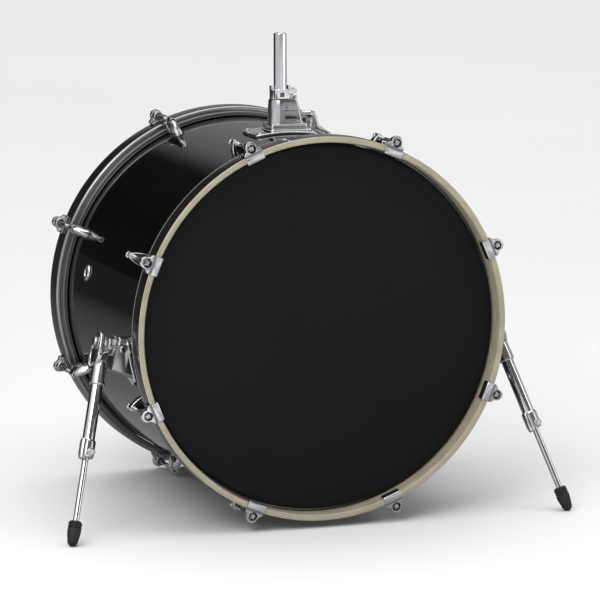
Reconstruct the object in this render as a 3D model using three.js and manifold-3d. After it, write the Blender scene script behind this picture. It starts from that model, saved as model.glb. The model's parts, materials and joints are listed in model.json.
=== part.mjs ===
// A 22 x 17 inch bass drum with claw hooks, folding telescopic spurs and a tom post.
// Millimetres, +Z up, front head towards -Y. The drum itself is drawn level in its own frame:
// the shell axis is Y, the middle of the shell is the origin, and the front is at negative Y.
// The last lines tilt it nose-up on its spurs and stand it on Z = 0.
import * as THREE from 'three';
import { mergeVertices } from 'three/addons/utils/BufferGeometryUtils.js';
import Module from 'manifold-3d';

const wasm = await Module();
wasm.setup();

// ---------------------------------------------------------------- driving dimensions
const GAP = 0.3; // clearance between pieces that touch
const RIM_SEGMENTS = 48; // facets around the shell, heads and hoops
const FACET = Math.cos(Math.PI / RIM_SEGMENTS); // a facet's distance from the axis over its corners'
const NOSE_UP = THREE.MathUtils.degToRad(1.5);

const SHELL_R = 279.5; // 22 inch shell
const SHELL_WALL = 7;
const EDGE_ROUND = 3; // the bearing edge's outer slope
const SHELL_DEPTH = 432; // 17 inches between the bearing edges
const HOOP_OUTER_R = 294;
const HOOP_INNER_R = 284.5;
const HOOP_WIDTH = 38;
const HEAD_RECESS = 26; // from the hoop's free edge in to the head
const DRUM_HALF = SHELL_DEPTH / 2 + HEAD_RECESS;
const FLESH_HOOP = { inner: 281.3, outer: 287, height: 10 };
const FILM = 0.6;

const LUG_COUNT = 8;
const LUG_FIRST = THREE.MathUtils.degToRad(22.5);
const LUG = { front: -168, length: 30, halfWidth: 10, shoulder: 291, top: 309 };
const ROD_R = 303; // distance of each tension rod from the drum's axis
const CLAW_WIDTH = 28.8;

const SPUR_LEAN = THREE.MathUtils.degToRad(16.8); // the leg's plane leans outwards
const SPUR_RAKE = THREE.MathUtils.degToRad(21.3); // the leg points forwards within that plane
const SPUR_PIVOT = new THREE.Vector3(315.1, -128, -21.1);
const SPUR_BASE = { middle: THREE.MathUtils.degToRad(-10.6), spread: THREE.MathUtils.degToRad(13.6) };
const SPUR_BLOCK = { half: 17, low: -38, high: 11, chamfer: 5, root: -66, face: -17 };
const FOOT_TIP_R = 8;

// One leg's pieces, as distances from the pivot along the leg.
const SPUR = {
  headThick: 11.5, // of the pivot plate, outwards from the middle of the tube
  headInward: 8,
  socket: [40, 66.5],
  tube: [56, 168],
  clamp: [153, 180.4],
  rodStart: 118,
  footStart: 279.8,
  tubeR: 9.5,
  tubeWall: 1.6,
  rodR: 4.7,
  boltR: 4.2,
};

// Height of the drum's middle when the batter hoop's lowest facet stands on the floor.
const EDGE_CHAMFER = 2;
const AXIS_HEIGHT =
  HOOP_OUTER_R * FACET * Math.cos(NOSE_UP) + (DRUM_HALF - EDGE_CHAMFER) * Math.sin(NOSE_UP);

const POST_Y = -36;
const POST_R = 10;
const POST_TOP = 432;
const POST_BOTTOM = 190;
const HOLDER = { base: 285.3, flange: 8, top: 330 };
const LOCK = { bottom: 330.3, top: 346, bandR: 16.5 };
const LOCK_BOLT = { x: 20, z: 338 };
const WING_BOLT = { z: 305, tip: 13, hub: 34, end: 51 };

const VENT = { angle: THREE.MathUtils.degToRad(168.8), y: 92.6 };

// ---------------------------------------------------------------- materials
const finish = (color, roughness, metalness) =>
  new THREE.MeshStandardMaterial({ color, roughness, metalness });
const blackLacquer = () => finish(0x101113, 0.08, 0.0);
const naturalWood = () => finish(0xb9a988, 0.45, 0.0);
const blackFilm = () => finish(0x202123, 0.6, 0.0);
const brushedAluminium = () => finish(0xb9bbbd, 0.35, 1.0);
const chrome = () => finish(0xd5d8dc, 0.08, 1.0);
const castChrome = () => finish(0xb4b7bd, 0.25, 1.0);
const rubber = () => finish(0x1a1a1b, 0.8, 0.0);

// ---------------------------------------------------------------- solids
function toSolid(geometry) {
  const bare = geometry.clone();
  bare.deleteAttribute('normal');
  bare.deleteAttribute('uv');
  const merged = mergeVertices(bare, 1e-3);
  return new wasm.Manifold(
    new wasm.Mesh({
      numProp: 3,
      vertProperties: new Float32Array(merged.attributes.position.array),
      triVerts: new Uint32Array(merged.index.array),
    }),
  );
}

function toGeometry(solid) {
  const mesh = solid.getMesh();
  const geometry = new THREE.BufferGeometry();
  geometry.setAttribute('position', new THREE.BufferAttribute(mesh.vertProperties, 3));
  geometry.setIndex(new THREE.BufferAttribute(mesh.triVerts, 1));
  geometry.computeVertexNormals();
  return geometry;
}

const join = (...geometries) => toGeometry(geometries.map(toSolid).reduce((a, b) => a.add(b)));
const cut = (base, ...tools) =>
  toGeometry(tools.map(toSolid).reduce((a, b) => a.subtract(b), toSolid(base)));

// An outline of [x, z] pairs or a THREE.Shape in the XZ plane, filled from y0 to y1.
function alongY(outline, y0, y1, curveSegments = 8) {
  const shape = outline instanceof THREE.Shape ? outline : shapeOf(outline);
  const geometry = new THREE.ExtrudeGeometry(shape, { depth: y1 - y0, bevelEnabled: false, curveSegments });
  const basis = new THREE.Matrix4().makeBasis(axisX, axisZ, axisY.clone().negate());
  return geometry.applyMatrix4(basis.setPosition(0, y1, 0));
}

// An outline of [x, y] pairs or a THREE.Shape in the XY plane, filled from z0 to z1.
function alongZ(outline, z0, z1, curveSegments = 8) {
  const shape = outline instanceof THREE.Shape ? outline : shapeOf(outline);
  const geometry = new THREE.ExtrudeGeometry(shape, { depth: z1 - z0, bevelEnabled: false, curveSegments });
  return geometry.translate(0, 0, z0);
}

const shapeOf = (points) => new THREE.Shape(points.map(([u, v]) => new THREE.Vector2(u, v)));
const rectangle = (u0, v0, u1, v1) => [[u0, v0], [u1, v0], [u1, v1], [u0, v1]];
const axisX = new THREE.Vector3(1, 0, 0);
const axisY = new THREE.Vector3(0, 1, 0);
const axisZ = new THREE.Vector3(0, 0, 1);

// A round bar from one point to another; the second radius makes it a cone.
function bar(from, to, radius, segments = 16, radiusTo = radius) {
  const axis = new THREE.Vector3().subVectors(to, from);
  const geometry = new THREE.CylinderGeometry(radiusTo, radius, axis.length(), segments);
  geometry.translate(0, axis.length() / 2, 0);
  geometry.applyQuaternion(new THREE.Quaternion().setFromUnitVectors(axisY, axis.normalize()));
  return geometry.translate(from.x, from.y, from.z);
}

const at = (x, y, z) => new THREE.Vector3(x, y, z);

// A ring or disc around the Y axis from a profile of [radius, y] pairs. A ring's profile closes on
// itself and a disc's starts and ends on the axis. Its facets, not its corners, face the lugs.
function turned(profile, segments = RIM_SEGMENTS) {
  const points = profile.map(([r, y]) => new THREE.Vector2(r, y));
  const phase = Math.PI / segments;
  return new THREE.LatheGeometry(points, segments, phase);
}

const closed = (profile) => [...profile, profile[0]];

// Part of a ring around the drum, between two angles measured from +X towards +Z.
function arcPlate(inner, outer, angle0, angle1, y0, y1, segments = 6) {
  const shape = new THREE.Shape();
  shape.absarc(0, 0, outer, angle0, angle1, false);
  shape.absarc(0, 0, inner, angle1, angle0, true);
  return alongY(shape, y0, y1, segments);
}

const drum = new THREE.Group();

function addMesh(parent, name, geometry, material) {
  const mesh = new THREE.Mesh(geometry, material);
  mesh.name = name;
  parent.add(mesh);
  return mesh;
}

// ---------------------------------------------------------------- shell
function shellGeometry() {
  const half = SHELL_DEPTH / 2;
  const inner = SHELL_R - SHELL_WALL;
  const crest = SHELL_R - EDGE_ROUND; // each bearing edge is cut at 45 degrees from both sides
  const innerCut = crest - inner;
  const tube = turned(
    closed([
      [inner, -half + innerCut],
      [crest, -half],
      [SHELL_R, -half + EDGE_ROUND],
      [SHELL_R, half - EDGE_ROUND],
      [crest, half],
      [inner, half - innerCut],
    ]),
  );
  const postHole = bar(at(0, POST_Y, 250), at(0, POST_Y, 300), POST_R + 2, 20);
  const ventHole = bar(onShell(VENT.angle, VENT.y, 255), onShell(VENT.angle, VENT.y, 300), 8.5, 16);
  return cut(tube, postHole, ventHole);
}

const onShell = (angle, y, radius) => at(radius * Math.cos(angle), y, radius * Math.sin(angle));

// ---------------------------------------------------------------- heads and hoops, front side
// The film crosses the bearing edge and its collar turns down into the aluminium flesh hoop.
function headGeometry() {
  const edge = -SHELL_DEPTH / 2 - GAP;
  const seat = -DRUM_HALF + HOOP_WIDTH + GAP;
  const collarR = SHELL_R + GAP;
  const crest = SHELL_R - EDGE_ROUND + 0.1;
  const skirt = seat + FLESH_HOOP.height / 2;
  return turned([
    [0, edge - FILM],
    [crest + 0.2, edge - FILM],
    [collarR + FILM, edge + EDGE_ROUND],
    [collarR + FILM, skirt],
    [collarR, skirt],
    [collarR, edge + EDGE_ROUND + 0.2],
    [crest, edge],
    [0, edge],
  ]);
}

function fleshHoopGeometry() {
  const seat = -DRUM_HALF + HOOP_WIDTH + GAP;
  const { inner, outer, height } = FLESH_HOOP;
  return turned(
    closed([
      [inner, seat],
      [outer, seat],
      [outer, seat + height - 1.2],
      [outer - 1.2, seat + height],
      [inner, seat + height],
    ]),
  );
}

function hoopGeometry() {
  const free = -DRUM_HALF;
  return turned(
    closed([
      [HOOP_INNER_R, free + EDGE_CHAMFER],
      [HOOP_INNER_R + EDGE_CHAMFER, free],
      [HOOP_OUTER_R - EDGE_CHAMFER, free],
      [HOOP_OUTER_R, free + EDGE_CHAMFER],
      [HOOP_OUTER_R, free + HOOP_WIDTH],
      [HOOP_INNER_R, free + HOOP_WIDTH],
    ]),
  );
}

// ---------------------------------------------------------------- claw hook
// Drawn at angle zero: X is outwards from the drum's axis, Y is along it, Z is along the rim.
function clawGeometry() {
  const front = -DRUM_HALF - GAP;
  const plate = 3.2;
  const half = CLAW_WIDTH / 2;
  const lip = { inner: 281.0, outer: HOOP_INNER_R - 0.8, y: front + 13 };
  const saddle = { inner: HOOP_OUTER_R + GAP, outer: 297.4, y: front + 20 };
  const hook = alongZ(
    [
      [lip.inner, front - plate],
      [saddle.outer, front - plate],
      [saddle.outer, saddle.y],
      [saddle.inner, saddle.y],
      [saddle.inner, front],
      [lip.outer, front],
      [lip.outer, lip.y],
      [lip.inner, lip.y],
    ],
    -half,
    half,
  );
  const ear = alongY(
    [
      [295, -half],
      [300, -half + 1.5],
      [311, -5.5],
      [313, -2.5],
      [313, 2.5],
      [311, 5.5],
      [300, half - 1.5],
      [295, half],
    ],
    front - 1,
    front + 6,
  );
  const boss = bar(at(ROD_R, front - 1, 0), at(ROD_R, front + 17, 0), 8.6, 12);
  const shoulder = [[294, front + 9], [320, front + 9], [320, front + 30], [294, front + 30]];
  const shoulders = [alongZ(shoulder, -30, -8.4), alongZ(shoulder, 8.4, 30)];
  const recess = bar(at(ROD_R, front - 4, 0), at(ROD_R, front + 8, 0), 6.4, 12);
  const bore = bar(at(ROD_R, front, 0), at(ROD_R, front + 20, 0), 4.2, 8);
  return cut(join(hook, ear, boss), ...shoulders, recess, bore);
}

// ---------------------------------------------------------------- lug with its tension rod
// The rod is screwed into the lug's swivel nut, and its collar pulls on the claw's recess.
function lugGeometry() {
  const clawFace = -DRUM_HALF - GAP;
  const seat = SHELL_R * FACET + GAP;
  const back = LUG.front + LUG.length;
  const crownHalf = LUG.halfWidth - 1;
  const arch = new THREE.Shape();
  arch.moveTo(seat, -LUG.halfWidth);
  arch.lineTo(LUG.shoulder, -crownHalf);
  arch.absellipse(LUG.shoulder, 0, LUG.top - LUG.shoulder, crownHalf, -Math.PI / 2, Math.PI / 2, false);
  arch.lineTo(seat, LUG.halfWidth);
  const body = alongY(arch, LUG.front, back, 5);
  const slope = alongZ([[290, back + 1], [320, back + 1], [320, LUG.front + 12]], -20, 20);
  const collarBack = clawFace + 8 - GAP;
  const key = bar(at(ROD_R, clawFace - 1, 0), at(ROD_R, collarBack - 2, 0), 4.5, 4);
  const collar = bar(at(ROD_R, collarBack - 2.6, 0), at(ROD_R, collarBack, 0), 5.7, 12);
  const rod = bar(at(ROD_R, collarBack - 1, 0), at(ROD_R, LUG.front + 5, 0), 3.2, 8);
  return join(cut(body, slope), key, collar, rod);
}

// ---------------------------------------------------------------- spurs
// Directions of one spur: side is +1 for +X and -1 for -X.
function spurFrame(side) {
  const pivot = at(side * SPUR_PIVOT.x, SPUR_PIVOT.y, SPUR_PIVOT.z);
  const out = at(side * Math.cos(SPUR_LEAN), 0, Math.sin(SPUR_LEAN)); // the fold axis
  const down = at(side * Math.sin(SPUR_LEAN), 0, -Math.cos(SPUR_LEAN));
  const leg = down.clone().multiplyScalar(Math.cos(SPUR_RAKE)).addScaledVector(axisY, -Math.sin(SPUR_RAKE));
  const alongLeg = (d) => pivot.clone().addScaledVector(leg, d);
  const alongAxis = (d) => pivot.clone().addScaledVector(out, d);
  return { side, pivot, out, down, leg, alongLeg, alongAxis };
}

// How far along the leg the ball of the foot sits, so that the foot just meets the floor.
function footDistance() {
  const { pivot, leg } = spurFrame(1);
  const lift = (v) => -v.y * Math.sin(NOSE_UP) + v.z * Math.cos(NOSE_UP);
  return (AXIS_HEIGHT + lift(pivot) - FOOT_TIP_R) / -lift(leg);
}

// A turned piece placed along a leg: the profile's [radius, distance] pairs count from the pivot.
function turnedOnLeg(frame, profile, segments = 16) {
  const geometry = turned(profile, segments);
  geometry.applyQuaternion(new THREE.Quaternion().setFromUnitVectors(axisY, frame.leg));
  return geometry.translate(frame.pivot.x, frame.pivot.y, frame.pivot.z);
}

// A flat piece in the leg's plane: u is backwards (+Y) and v is up the plane from the pivot.
function plateOnPivot(frame, shape, d0, d1, curveSegments = 8) {
  const up = frame.down.clone().negate();
  const normal = new THREE.Vector3().crossVectors(axisY, up);
  const start = frame.side > 0 ? d0 : -d1;
  const geometry = new THREE.ExtrudeGeometry(shape, { depth: d1 - d0, bevelEnabled: false, curveSegments });
  geometry.translate(0, 0, start);
  geometry.applyMatrix4(new THREE.Matrix4().makeBasis(axisY, up, normal));
  return geometry.translate(frame.pivot.x, frame.pivot.y, frame.pivot.z);
}

// Everything inside the drum's shell, to cut the underside of what is bolted on to it.
const shellCore = () => turned([[0, -300], [SHELL_R + 0.4, -300], [SHELL_R + 0.4, 300], [0, 300]]);

// A curved base, a block that stands out from it under the pivot, and the round pivot housing.
function spurBracketGeometry(frame) {
  const middle = frame.side > 0 ? SPUR_BASE.middle : Math.PI - SPUR_BASE.middle;
  const start = middle - SPUR_BASE.spread / 2;
  const plate = arcPlate(SHELL_R - 1, SHELL_R + 4, start, start + SPUR_BASE.spread, -150, -106);
  const { half, low, high, chamfer } = SPUR_BLOCK;
  const outline = new THREE.Shape([
    new THREE.Vector2(-half, low + chamfer),
    new THREE.Vector2(chamfer - half, low),
    new THREE.Vector2(half - chamfer, low),
    new THREE.Vector2(half, low + chamfer),
    new THREE.Vector2(half, high - chamfer),
    new THREE.Vector2(half - chamfer, high),
    new THREE.Vector2(chamfer - half, high),
    new THREE.Vector2(-half, high - chamfer),
  ]);
  const block = plateOnPivot(frame, outline, SPUR_BLOCK.root, SPUR_BLOCK.face);
  const housing = bar(frame.alongAxis(-36), frame.alongAxis(-13), 18, 16, 15);
  const bore = bar(frame.alongAxis(-60), frame.alongAxis(0), SPUR.boltR + 0.4, 12);
  return cut(join(plate, block, housing), shellCore(), bore);
}

function spurHeadGeometry(frame) {
  const pear = new THREE.Shape();
  pear.absarc(0, 0, 17, 0.35, Math.PI - 0.35, false);
  pear.absarc(-2, -20, 23, Math.PI - 0.1, Math.PI * 1.35, false);
  pear.absarc(-2, -20, 23, Math.PI * 1.65, Math.PI * 2 + 0.1, false);
  const plate = plateOnPivot(frame, pear, -SPUR.headInward, SPUR.headThick, 5);
  const boss = bar(frame.alongAxis(-12.7), frame.alongAxis(2), 11, 12);
  const socket = bar(frame.alongLeg(SPUR.socket[0]), frame.alongLeg(SPUR.socket[1]), 9, 16, 11);
  const bore = bar(frame.alongAxis(-20), frame.alongAxis(30), SPUR.boltR + 0.4, 12);
  const tubeBore = bar(frame.alongLeg(SPUR.tube[0] - GAP), frame.alongLeg(80), SPUR.tubeR + GAP, 16);
  return cut(join(plate, boss, socket), bore, tubeBore);
}

function spurTubeGeometry(frame) {
  const [start, end] = SPUR.tube;
  const inner = SPUR.tubeR - SPUR.tubeWall;
  return turnedOnLeg(frame, closed([[inner, start], [SPUR.tubeR, start], [SPUR.tubeR, end], [inner, end]]));
}

// A ring with a round lobe on its -X side, in front of the tube, and a key bolt facing forwards.
function spurClampGeometry(frame) {
  const [start, end] = SPUR.clamp;
  const sideways = at(-8.3, 0, 0).projectOnPlane(frame.leg);
  const forwards = at(0, -7, 0).projectOnPlane(frame.leg);
  const beside = (d) => frame.alongLeg(d).add(sideways).add(forwards);
  const boltSeat = frame.alongLeg(171).add(at(4, 0, 0));
  const ring = bar(frame.alongLeg(start), frame.alongLeg(end), 11.8, 16);
  const lobe = bar(beside(start), beside(end + 4), 5.5, 12);
  const bolt = bar(boltSeat, boltSeat.clone().add(at(0, -17, 3)), 4.5, 12);
  const tubeBore = bar(frame.alongLeg(start - 2), frame.alongLeg(SPUR.tube[1] + GAP), SPUR.tubeR + GAP, 16);
  const rodBore = bar(frame.alongLeg(start), frame.alongLeg(end + 6), SPUR.rodR + GAP, 16);
  return cut(join(ring, lobe, bolt), tubeBore, rodBore);
}

function spurRodGeometry(frame) {
  return bar(frame.alongLeg(SPUR.rodStart), frame.alongLeg(SPUR.footStart + 18), SPUR.rodR, 16);
}

function spurFootGeometry(frame) {
  const ball = footDistance();
  const pocket = SPUR.footStart + 18 + GAP;
  const bore = SPUR.rodR + GAP;
  const arc = [15, 38, 64].map((deg) => {
    const a = THREE.MathUtils.degToRad(deg);
    return [FOOT_TIP_R * Math.cos(a), ball + FOOT_TIP_R * Math.sin(a)];
  });
  const start = SPUR.footStart;
  return turnedOnLeg(frame, [
    [0, pocket],
    [bore, pocket],
    [bore, start],
    [9, start],
    [10.5, start + 1.5],
    [10.5, start + 9],
    [9.2, start + 14],
    ...arc,
    [0, ball + FOOT_TIP_R],
  ]);
}

function spurBoltGeometry(frame) {
  const shank = bar(frame.alongAxis(-30), frame.alongAxis(SPUR.headThick + 2), SPUR.boltR, 12);
  const head = bar(frame.alongAxis(SPUR.headThick + GAP), frame.alongAxis(SPUR.headThick + 5), 7.5, 16, 6.5);
  return join(shank, head);
}

// ---------------------------------------------------------------- tom mount
function mountPlateGeometry() {
  const spread = 2 * Math.asin(51 / (SHELL_R + 3));
  const start = (Math.PI - spread) / 2;
  const plate = arcPlate(SHELL_R - 1, SHELL_R + 4, start, start + spread, POST_Y - 38, POST_Y + 38, 10);
  const pad = alongZ(rectangle(-24, POST_Y - 26, 40, POST_Y + 24), SHELL_R - 1.5, HOLDER.base - GAP);
  const postHole = bar(at(0, POST_Y, 270), at(0, POST_Y, 300), POST_R + 1.5, 20);
  return cut(join(plate, pad), shellCore(), postHole);
}

function mountHolderGeometry() {
  const { base, top } = HOLDER;
  const flange = alongZ(rectangle(-22, POST_Y - 24, 38, POST_Y + 22), base, base + HOLDER.flange);
  const column = bar(at(0, POST_Y, base), at(0, POST_Y, top), 20.5, 20, 17.7);
  const jaw = alongY([[0, base], [33, base], [22, top], [0, top]], POST_Y - 15, POST_Y + 15);
  const postBore = bar(at(0, POST_Y, base - 5), at(0, POST_Y, top + 5), POST_R + GAP, 20);
  const boltBore = bar(at(12, POST_Y, WING_BOLT.z), at(50, POST_Y, WING_BOLT.z), 4.3, 12);
  return cut(join(flange, column, jaw), postBore, boltBore);
}

function memoryLockGeometry() {
  const { bottom, top } = LOCK;
  const band = bar(at(0, POST_Y, bottom), at(0, POST_Y, top), LOCK.bandR, 20);
  const ear = alongZ(rectangle(8, POST_Y - 7.5, 25, POST_Y + 7.5), bottom, top);
  const tabs = [-1, 1].map((side) => alongZ(rectangle(-1.6, POST_Y - 5, 1.6, POST_Y + 5), top - 4, top + 5)
    .translate(14 * side, 0, 0));
  const postBore = bar(at(0, POST_Y, bottom - 5), at(0, POST_Y, top + 9), POST_R + GAP, 20);
  const slot = alongZ(rectangle(5, POST_Y - 1, 30, POST_Y + 1), bottom - 10, top + 10);
  const { x, z } = LOCK_BOLT;
  const boltBore = bar(at(x, POST_Y - 20, z), at(x, POST_Y + 20, z), 3.3, 10);
  return cut(join(band, ear, ...tabs), postBore, slot, boltBore);
}

function lockBoltGeometry() {
  const { x, z } = LOCK_BOLT;
  const shank = bar(at(x, POST_Y - 9, z), at(x, POST_Y + 9, z), 3, 10);
  const head = bar(at(x, POST_Y - 12.5, z), at(x, POST_Y - 7.5 - GAP, z), 4.2, 12);
  return join(shank, head);
}

// A tube that is plugged at its top end.
function postGeometry() {
  const inner = POST_R - 2;
  const profile = [
    [0, POST_TOP - 4],
    [inner, POST_TOP - 4],
    [inner, POST_BOTTOM],
    [POST_R, POST_BOTTOM],
    [POST_R, POST_TOP - 1],
    [POST_R - 1, POST_TOP],
    [0, POST_TOP],
  ];
  return turned(profile, 20).rotateX(Math.PI / 2).translate(0, POST_Y, 0);
}

// One wing stands square to the screw and the other sweeps outwards.
function wingBoltGeometry() {
  const { z, tip, hub, end } = WING_BOLT;
  const shank = bar(at(tip, POST_Y, z), at(hub + 4, POST_Y, z), 4, 12);
  const collar = bar(at(hub, POST_Y, z), at(end, POST_Y, z), 6, 12);
  const straightWing = [[end - 9, 0], [end - 9, -20], [end - 5, -22], [end, -22], [end, 0]];
  const sweptWing = [
    [end - 2, 4],
    [end - 2, -5],
    [end + 4, -8],
    [end + 4, -23],
    [end + 31, -33],
    [end + 7, -14],
    [end + 9, -5],
    [end + 5, 4],
  ];
  const wings = [straightWing, sweptWing].map((outline) => alongY(outline, -2, 2).translate(0, POST_Y, z));
  return join(shank, collar, ...wings);
}

// ---------------------------------------------------------------- vent grommet
function ventGeometry() {
  const profile = closed([
    [6, -10],
    [8.2, -10],
    [8.2, 1.2],
    [12.5, 1.2],
    [12.5, 2.2],
    [10, 3.6],
    [7, 3.6],
    [6, 2.6],
  ]);
  const geometry = turned(profile, 16);
  const outward = onShell(VENT.angle, 0, 1);
  geometry.applyQuaternion(new THREE.Quaternion().setFromUnitVectors(axisY, outward));
  const seat = onShell(VENT.angle, VENT.y, SHELL_R);
  return geometry.translate(seat.x, seat.y, seat.z);
}

// ---------------------------------------------------------------- assembly
addMesh(drum, 'shell', shellGeometry(), blackLacquer());
addMesh(drum, 'vent_grommet', ventGeometry(), chrome());

// The batter side is the front side turned half round the vertical axis.
for (const end of ['front', 'batter']) {
  const rim = new THREE.Group();
  rim.rotation.z = end === 'front' ? 0 : Math.PI;
  drum.add(rim);
  addMesh(rim, `${end}_head`, headGeometry(), blackFilm());
  addMesh(rim, `${end}_flesh_hoop`, fleshHoopGeometry(), brushedAluminium());
  addMesh(rim, `${end}_hoop`, hoopGeometry(), end === 'front' ? naturalWood() : blackLacquer());
  for (let i = 0; i < LUG_COUNT; i += 1) {
    const station = new THREE.Group();
    station.rotation.y = -(LUG_FIRST + (i * 2 * Math.PI) / LUG_COUNT);
    rim.add(station);
    addMesh(station, `${end}_claw_${i + 1}`, clawGeometry(), chrome());
    addMesh(station, `${end}_lug_${i + 1}`, lugGeometry(), chrome());
  }
}

for (const [name, side] of [['left', -1], ['right', 1]]) {
  const frame = spurFrame(side);
  addMesh(drum, `spur_bracket_${name}`, spurBracketGeometry(frame), castChrome());
  addMesh(drum, `spur_head_${name}`, spurHeadGeometry(frame), castChrome());
  addMesh(drum, `spur_tube_${name}`, spurTubeGeometry(frame), chrome());
  addMesh(drum, `spur_clamp_${name}`, spurClampGeometry(frame), castChrome());
  addMesh(drum, `spur_rod_${name}`, spurRodGeometry(frame), chrome());
  addMesh(drum, `spur_foot_${name}`, spurFootGeometry(frame), rubber());
  addMesh(drum, `spur_pivot_bolt_${name}`, spurBoltGeometry(frame), chrome());
}

addMesh(drum, 'tom_mount_plate', mountPlateGeometry(), chrome());
addMesh(drum, 'tom_mount_holder', mountHolderGeometry(), castChrome());
addMesh(drum, 'tom_memory_lock', memoryLockGeometry(), castChrome());
addMesh(drum, 'tom_lock_bolt', lockBoltGeometry(), chrome());
addMesh(drum, 'tom_post', postGeometry(), chrome());
addMesh(drum, 'tom_wing_bolt', wingBoltGeometry(), chrome());

// ---------------------------------------------------------------- stand it on the floor
drum.rotation.x = -NOSE_UP;
const group = new THREE.Group();
group.add(drum);
group.updateMatrixWorld(true);
const box = new THREE.Box3().setFromObject(group, true);
const centre = box.getCenter(new THREE.Vector3());
drum.position.set(-centre.x, -centre.y, -box.min.z);
group.updateMatrixWorld(true);

export default group;
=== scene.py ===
"""The looks of a 22 x 17 inch bass drum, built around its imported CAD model.

Sizes are in millimetres in the drum's own frame: the middle of the shell is the origin, Y is the
shell's axis with the front head at -Y, and Z is up, square to the shell. DRUM takes that frame to
the row frame, in metres. A station is the same frame turned about Y so that X points outwards
through one tension rod.
"""

import json
from math import atan2, copysign, cos, hypot, pi, radians, sin, sqrt, tan

import bmesh
import bpy
from mathutils import Matrix, Vector


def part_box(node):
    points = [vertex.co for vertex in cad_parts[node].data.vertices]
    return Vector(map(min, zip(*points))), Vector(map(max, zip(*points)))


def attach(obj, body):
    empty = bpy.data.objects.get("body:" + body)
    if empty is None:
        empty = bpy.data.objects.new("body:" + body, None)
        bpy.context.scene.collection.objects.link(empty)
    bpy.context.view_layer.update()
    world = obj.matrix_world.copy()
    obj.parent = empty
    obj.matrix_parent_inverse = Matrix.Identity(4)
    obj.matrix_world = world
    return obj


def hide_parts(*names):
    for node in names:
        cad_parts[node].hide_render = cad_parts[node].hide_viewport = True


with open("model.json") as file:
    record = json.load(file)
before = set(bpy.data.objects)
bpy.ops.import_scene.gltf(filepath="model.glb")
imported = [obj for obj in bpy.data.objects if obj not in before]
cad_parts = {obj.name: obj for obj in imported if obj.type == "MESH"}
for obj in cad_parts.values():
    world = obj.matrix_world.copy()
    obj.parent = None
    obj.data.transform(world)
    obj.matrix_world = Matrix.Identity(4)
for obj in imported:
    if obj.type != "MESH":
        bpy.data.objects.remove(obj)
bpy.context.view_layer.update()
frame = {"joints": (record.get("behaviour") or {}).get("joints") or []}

# ---- the drum's frame and sizes
joints = {joint["name"]: joint for joint in frame["joints"]}
shell_low, shell_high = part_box("shell")
drum_up = Vector(joints["tom_post_height"]["axis"]).normalized()
drum_back = drum_up.cross(Vector((1, 0, 0)))
DRUM = Matrix.Translation((shell_low + shell_high) / 2) @ Matrix(
    ((1, 0, 0), drum_back, drum_up)
).transposed().to_4x4()
MM = 0.001

SHELL_R = 279.5
SHELL_INNER = 272.5
SHELL_HALF = 216.0
HOOP_INNER = 284.5
HOOP_OUTER = 294.0
HOOP_FREE = -242.0  # y of the front hoop's outer face
HOOP_SEAT = -204.0  # and of the face on its flesh hoop
HOOP_HIGHLIGHT_STRIP = 7.2  # the width of the pale wood strip painted along the front hoop's rear edge as a highlight
ROD_R = 303.0
LUG_MOUTH = -168.0  # y of the end that the rod enters
LUG_COUNT = 8
LUG_FIRST = radians(22.5)
POST_Y = -36.0
POST_R = 10.0
POST_TOP = 432.0
POST_BOTTOM = 190.0
HOLDER_BASE = 285.3
HOLDER_TOP = 330.0
LOCK_BOTTOM = 330.3
LOCK_TOP = 346.0
LOCK_BOLT_X = 20.0
LOCK_BOLT_Z = 338.0
WING_Z = 305.0
VENT_ANGLE = radians(168.8)
VENT_Y = 92.6
X, Y, Z = Vector((1, 0, 0)), Vector((0, 1, 0)), Vector((0, 0, 1))
TAU = 2 * pi


# ---- mesh code
def refresh(piece, crease=32):
    """Merges doubled points, closes pinholes, turns faces outwards and shades up to a crease."""
    work = bmesh.new()
    work.from_mesh(piece.data)
    bmesh.ops.remove_doubles(work, verts=work.verts, dist=1e-3)
    bmesh.ops.dissolve_degenerate(work, edges=work.edges, dist=1e-4)
    bmesh.ops.holes_fill(work, edges=work.edges, sides=8)
    bmesh.ops.recalc_face_normals(work, faces=work.faces)
    work.to_mesh(piece.data)
    work.free()
    piece.data.validate()
    piece.data.shade_smooth()
    piece.data.set_sharp_from_angle(angle=radians(crease))
    return piece


def mesh_piece(vertices, faces, crease=32):
    mesh = bpy.data.meshes.new("piece")
    mesh.from_pydata([tuple(vertex) for vertex in vertices], [], faces)
    piece = bpy.data.objects.new("piece", mesh)
    bpy.context.scene.collection.objects.link(piece)
    return refresh(piece, crease)


def moved(piece, matrix):
    piece.data.transform(matrix)
    return refresh(piece)


def rounded(points, radius, steps=4, closed=True):
    """The outline with its corners turned into arcs. A point may give its own radius third."""
    outline = []
    last = len(points) - 1
    for i, point in enumerate(points):
        here = Vector(point[:2])
        size = point[2] if len(point) > 2 else radius
        if size <= 0 or (not closed and i in (0, last)):
            outline.append(here)
            continue
        before = Vector(points[i - 1][:2]) - here
        after = Vector(points[(i + 1) % len(points)][:2]) - here
        half = before.angle(after) / 2
        reach = min(size / tan(half), before.length * 0.49, after.length * 0.49)
        size = reach * tan(half)
        middle = (before.normalized() + after.normalized()).normalized()
        centre = here + middle * (size / sin(half))
        start = here + before.normalized() * reach - centre
        end = here + after.normalized() * reach - centre
        first = atan2(start.y, start.x)
        sweep = (atan2(end.y, end.x) - first + pi) % TAU - pi
        for k in range(steps + 1):
            angle = first + sweep * k / steps
            outline.append(centre + size * Vector((cos(angle), sin(angle))))
    return outline


def rectangle(left, low, right, high):
    return [(left, low), (right, low), (right, high), (left, high)]


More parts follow.
